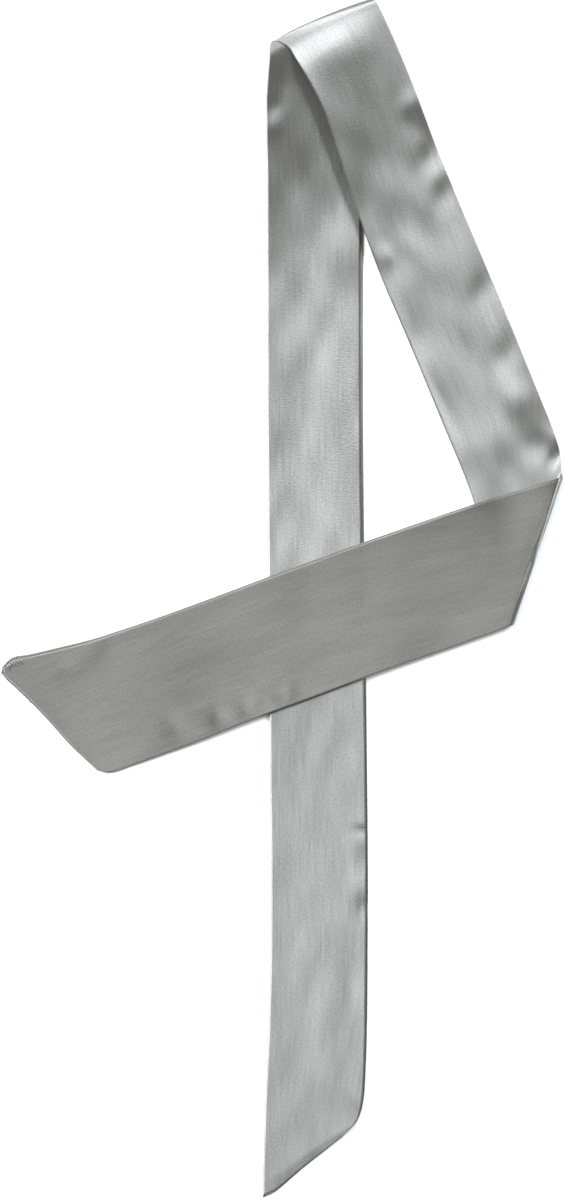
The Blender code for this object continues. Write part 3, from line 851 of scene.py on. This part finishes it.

# %% [markdown]
# ## The satin
#
# Satin is a weave of long floating threads. They act like a brushed metal: light spreads
# across the threads and hardly along them, so a run is bright when the light comes from its
# two sides and dark when the light comes from its two ends. The Principled shader does this
# with its anisotropy, with the tangent taken from the thread map. The satin is mostly metallic,
# because then its colour tints the shine itself, where nearly all of its brightness is. So the
# shine also shows the fine streaks that follow the threads, the soft, longer clouds that break
# up the evenness, and the fine weave, which is in the bump as well.

# %% The satin, its shaded copy with a painted tint, and the three noises: detail, waves a metre across and along, span of shade
Satin = namedtuple("Satin", "name color roughness metal anisotropy")
SILVER = Satin("silver_satin", (0.276, 0.273, 0.262), 0.42, 0.88, 0.95)
# The shaded copy is the same satin for the short run; its colour, a touch less red and greener,
# is a painted tint for the hue of the short run's light.
SHADED = Satin("shaded_satin", (0.271, 0.274, 0.262), 0.42, 0.88, 0.95)
Noise = namedtuple("Noise", "name detail stretch low high")
STREAKS = Noise("streaks", 3.0, (900, 30, 1), 0.92, 1.08)
CLOUDS = Noise("clouds", 2.0, (70, 14, 1), 0.94, 1.06)
WEFT = Noise("weft", 1.0, (480, 1000, 1), 0.90, 1.10)
NOISE_LOW = 0.3
NOISE_HIGH = 0.7
ROUGHER = 0.04  # how much rougher or smoother a streak is
BUMP_STRENGTH = 0.5
BUMP_HEIGHT = 0.00012
print("finishes:", SILVER.name, SHADED.name)

# %% The satin's material
def texture(nodes, links, mapping_from, noise_kind):
    """A noise read on the thread map, stretched along the threads."""
    mapping = nodes.new("ShaderNodeMapping")
    mapping.inputs["Scale"].default_value = noise_kind.stretch
    links.new(mapping_from, mapping.inputs["Vector"])
    noise = nodes.new("ShaderNodeTexNoise")
    noise.name = noise_kind.name
    noise.inputs["Scale"].default_value = 1.0
    noise.inputs["Detail"].default_value = noise_kind.detail
    links.new(mapping.outputs["Vector"], noise.inputs["Vector"])
    return noise.outputs["Fac"]


def span(nodes, links, value, low, high):
    """The noise's usual NOISE_LOW to NOISE_HIGH spread out from low to high."""
    remap = nodes.new("ShaderNodeMapRange")
    remap.inputs["From Min"].default_value = NOISE_LOW
    remap.inputs["From Max"].default_value = NOISE_HIGH
    remap.inputs["To Min"].default_value = low
    remap.inputs["To Max"].default_value = high
    links.new(value, remap.inputs["Value"])
    return remap.outputs["Result"]


def times(nodes, links, first, second):
    """The product of two values."""
    product = nodes.new("ShaderNodeMath")
    product.operation = "MULTIPLY"
    links.new(first, product.inputs[0])
    links.new(second, product.inputs[1])
    return product.outputs[0]


def satin_material(satin):
    """Principled satin, with its tangent and noises from the thread map, in metres. Its colour
    is the satin's own times streaks, clouds and weft, and its roughness follows the streaks."""
    material = bpy.data.materials.new(satin.name)
    material.use_nodes = True
    nodes, links = material.node_tree.nodes, material.node_tree.links
    shader = nodes["Principled BSDF"]
    shader.inputs["Metallic"].default_value = satin.metal
    shader.inputs["Anisotropic"].default_value = satin.anisotropy
    uv = nodes.new("ShaderNodeUVMap")
    uv.uv_map = "threads"
    tangent = nodes.new("ShaderNodeTangent")
    tangent.direction_type = "UV_MAP"
    tangent.uv_map = "threads"
    links.new(tangent.outputs["Tangent"], shader.inputs["Tangent"])
    streaks = texture(nodes, links, uv.outputs["UV"], STREAKS)
    clouds = texture(nodes, links, uv.outputs["UV"], CLOUDS)
    weft = texture(nodes, links, uv.outputs["UV"], WEFT)
    shade = times(nodes, links, span(nodes, links, streaks, STREAKS.low, STREAKS.high),
                  span(nodes, links, clouds, CLOUDS.low, CLOUDS.high))
    shade = times(nodes, links, shade, span(nodes, links, weft, WEFT.low, WEFT.high))
    tint = nodes.new("ShaderNodeVectorMath")
    tint.operation = "SCALE"
    tint.inputs[0].default_value = satin.color
    links.new(shade, tint.inputs["Scale"])
    links.new(tint.outputs["Vector"], shader.inputs["Base Color"])
    smooth, rough = satin.roughness - ROUGHER, satin.roughness + ROUGHER
    links.new(span(nodes, links, streaks, smooth, rough), shader.inputs["Roughness"])
    bump = nodes.new("ShaderNodeBump")
    bump.inputs["Strength"].default_value = BUMP_STRENGTH
    bump.inputs["Distance"].default_value = BUMP_HEIGHT
    links.new(weft, bump.inputs["Height"])
    links.new(bump.outputs["Normal"], shader.inputs["Normal"])
    return material


silver_satin = satin_material(SILVER)
shaded_satin = satin_material(SHADED)
# The short run and its stitches take the shaded copy, whose slight tint is painted light.
for piece, material in ((long_sleeve, silver_satin), (slanting_sleeve, silver_satin),
                        (short_sleeve, shaded_satin), (closing_stitches, shaded_satin)):
    piece.data.materials.clear()
    piece.data.materials.append(material)
print("materials:", silver_satin.name, shaded_satin.name)

# %% [markdown]
# ## Put each piece on the body
#
# Each sleeve rides on the part's one body, hides the solids that it covers, and prints the
# flat size of its cloth before it was sewn: twice the band's width, because the strip goes all
# round, by the length of that stretch.

def cut_size(first, last):
    """Twice the mean width by the length along the band, in metres."""
    length = float(np.ptp(thread[first:last + 1].mean(axis=1)))
    return round(2 * float(width[first:last + 1].mean()) * MM, 4), round(length * MM, 4)


DECLARED = [
    (long_sleeve, 0, long_cut, "silver_satin", ("long_run_face", "long_run_back")),
    (slanting_sleeve, long_cut, slanting_cut, "silver_satin",
     ("top_fold_face", "top_fold_back", "slanting_run_face", "slanting_run_back")),
    (short_sleeve, slanting_cut, len(sleeve) - 1, "shaded_satin",
     ("side_fold_face", "side_fold_back", "short_run_face", "short_run_back")),
]
for piece, first, last, slot, nodes in DECLARED:
    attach(piece, "root")
    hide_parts(*nodes)
    print(piece.name, "cut to", cut_size(first, last), "m")
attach(closing_stitches, "root")
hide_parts("short_run_face")

# %% [markdown]
# ## The floor, the light and the camera
#
# The scarf lies on a plain pale floor and is seen from straight above. Two long soft lights
# at its left and right make the long and slanting runs and the crest of the top roll glow, and
# leave the short run dark, as its threads point at them. A weaker light beyond the page's top
# lights the short run, whose threads lie across it, and a slightly warm surround fills the
# shade. The side lights are a little cool, so the brightest satin is too, as in the photo.

# %% Floor
FLOOR_SIZE = 8.0
FLOOR_COLOR = (0.95, 0.95, 0.95, 1)
FLOOR_ROUGHNESS = 0.9

bpy.ops.mesh.primitive_plane_add(size=FLOOR_SIZE)
floor = bpy.context.object
floor.name = "floor"
floor_material = bpy.data.materials.new("pale_floor")
floor_material.use_nodes = True
paint = floor_material.node_tree.nodes["Principled BSDF"]
paint.inputs["Base Color"].default_value = FLOOR_COLOR
paint.inputs["Roughness"].default_value = FLOOR_ROUGHNESS
floor.data.materials.append(floor_material)
print("floor, m:", FLOOR_SIZE, "square")

# %% Lights
Light = namedtuple("Light", "name place wide tall power color")
COOL = (0.895, 0.955, 1.0)
WARM = (1.0, 0.99, 0.96)
SURROUND = (1.0, 0.98, 0.90, 1.0)
SURROUND_STRENGTH = 0.27
LIGHTS = [
    Light("left_light", (-9.90, 1.30, 8.3), 7.0, 3.8, 2330.0, COOL),
    Light("right_light", (8.09, 5.88, 8.3), 6.4, 3.8, 1950.0, COOL),
    Light("top_light", (-1.05, 3.0, 2.7), 1.2, 3.0, 71.0, WARM),
]


def aim(thing, place, target=(0.0, 0.0, 0.0)):
    """Put a thing at a place with its own -Z pointing at the target."""
    thing.location = place
    towards = Vector(target) - Vector(place)
    thing.rotation_euler = towards.to_track_quat("-Z", "Y").to_euler()


for light in LIGHTS:
    data = bpy.data.lights.new(light.name, "AREA")
    data.shape = "RECTANGLE"
    data.size, data.size_y = light.wide, light.tall
    data.energy = light.power
    data.color = light.color
    lamp = bpy.data.objects.new(light.name, data)
    bpy.context.scene.collection.objects.link(lamp)
    aim(lamp, light.place)

bpy.context.scene.view_settings.view_transform = "Standard"
world = bpy.data.worlds.new("surround")
world.use_nodes = True
background = world.node_tree.nodes["Background"]
background.inputs["Color"].default_value = SURROUND
background.inputs["Strength"].default_value = SURROUND_STRENGTH
bpy.context.scene.world = world
print("lights:", [light.name for light in LIGHTS])

# %% Camera
PHOTO_HEIGHT_MM = 876.0
CAMERA_HEIGHT = 8.0
SENSOR = 36.0
PHOTO_MIDDLE = (-0.365, -0.365)

camera_data = bpy.data.cameras.new("camera")
camera_data.sensor_fit = "VERTICAL"
camera_data.sensor_height = SENSOR
camera_data.lens = SENSOR * CAMERA_HEIGHT / (PHOTO_HEIGHT_MM * MM)
camera = bpy.data.objects.new("camera", camera_data)
camera.location = (*((np.array(PHOTO_MIDDLE) + shift) * MM), CAMERA_HEIGHT)
bpy.context.scene.collection.objects.link(camera)
bpy.context.scene.camera = camera
print("lens, mm:", round(camera_data.lens, 1))
